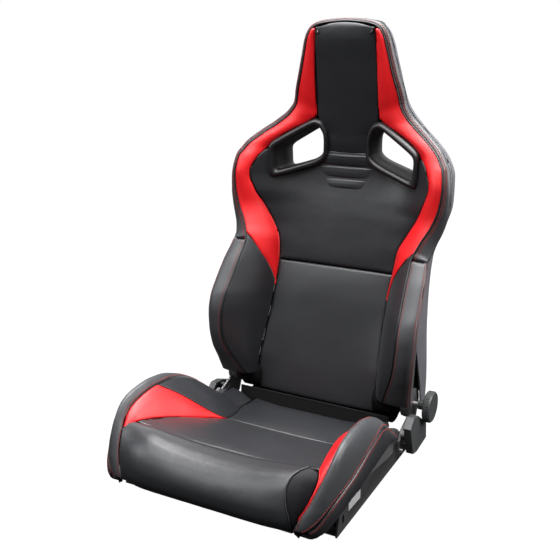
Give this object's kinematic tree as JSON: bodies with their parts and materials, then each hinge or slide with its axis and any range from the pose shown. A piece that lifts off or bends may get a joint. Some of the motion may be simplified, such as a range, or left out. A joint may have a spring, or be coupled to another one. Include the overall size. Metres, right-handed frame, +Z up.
{
  "type": "reclining sport seat",
  "caption": "Reclining bucket-style sport seat with integrated headrest, belt pass-throughs, deep side bolsters, side brackets and a recliner handwheel.",
  "frame": {"origin": "centre of the four floor bolts, on the underside of the side brackets", "axes": "+Z up, the seat faces -Y, +X to the sitter's left, where the handwheel is"},
  "size_m": [0.569, 0.7446, 0.962],
  "materials": {
    "bracket_steel": "black powder coat with a light texture",
    "frame_steel": "black paint, satin",
    "recliner_steel": "dark phosphate coat, satin",
    "fastener_steel": "zinc plated",
    "black_leather": "fine grain, soft sheen",
    "band_leather": "fine grain, soft sheen, red twin stitching",
    "red_leather": "fine grain, soft sheen",
    "side_fabric": "flat woven trim cloth",
    "shell_plastic": "fine grained, satin",
    "guide_plastic": "smooth satin",
    "cover_plastic": "fine spark-eroded grain",
    "bumper_rubber": "moulded rubber",
    "label_film": "plain printed film, blank"
  },
  "bodies": {
    "base": {"side_bracket_left": "bracket_steel", "side_bracket_right": "bracket_steel", "front_cross_tube": "frame_steel", "rear_cross_tube": "frame_steel", "seat_pan": "frame_steel", "cushion_centre": "black_leather", "cushion_front_roll": "black_leather", "cushion_bolster_left": "band_leather", "cushion_bolster_right": "band_leather", "cushion_side_panel_left": "side_fabric", "cushion_side_panel_right": "side_fabric", "cushion_tail_left": "black_leather", "cushion_tail_right": "black_leather", "recliner_lower_arm_left": "recliner_steel", "recliner_lower_arm_right": "recliner_steel", "recliner_fixed_disc_left": "recliner_steel", "recliner_fixed_disc_right": "recliner_steel", "rear_gap_cover": "guide_plastic", "hinge_cover_left": "cover_plastic", "hinge_cover_right": "cover_plastic", "stop_bumpers": "bumper_rubber", "arm_bolts": "fastener_steel", "blank_label": "label_film"},
    "backrest": {"back_shell": "shell_plastic", "back_frame_left": "frame_steel", "back_frame_right": "frame_steel", "back_lower_tube": "frame_steel", "back_upper_tube": "frame_steel", "headrest_hoop": "frame_steel", "lumbar_pad": "black_leather", "upper_back_pad": "black_leather", "neck_pad": "black_leather", "headrest_pad": "black_leather", "headrest_side_left": "red_leather", "headrest_side_right": "red_leather", "shoulder_pad_left": "red_leather", "shoulder_pad_right": "red_leather", "back_bolster_left": "black_leather", "back_bolster_right": "black_leather", "belt_guide_left": "guide_plastic", "belt_guide_right": "guide_plastic", "recliner_upper_arm_left": "recliner_steel", "recliner_upper_arm_right": "recliner_steel", "recliner_moving_disc_left": "recliner_steel", "recliner_moving_disc_right": "recliner_steel", "shell_screws": "fastener_steel", "frame_bolts": "fastener_steel"},
    "drive": {"handwheel": "cover_plastic", "handwheel_cap": "cover_plastic", "cross_shaft": "fastener_steel", "shaft_clips": "fastener_steel"}
  },
  "joints": [
    {"name": "recline", "type": "hinge", "parent": "base", "child": "backrest", "pos_m": [0, 0.185, 0.108], "axis": [-1, 0, 0], "range_deg": [-10, 35]},
    {"name": "handwheel_turn", "type": "hinge", "parent": "base", "child": "drive", "pos_m": [0, 0.185, 0.108], "axis": [-1, 0, 0], "range_deg": [-360, 1260]}
  ],
  "couplings": [
    {"joint": "handwheel_turn", "follows": "recline", "ratio": 36}
  ]
}
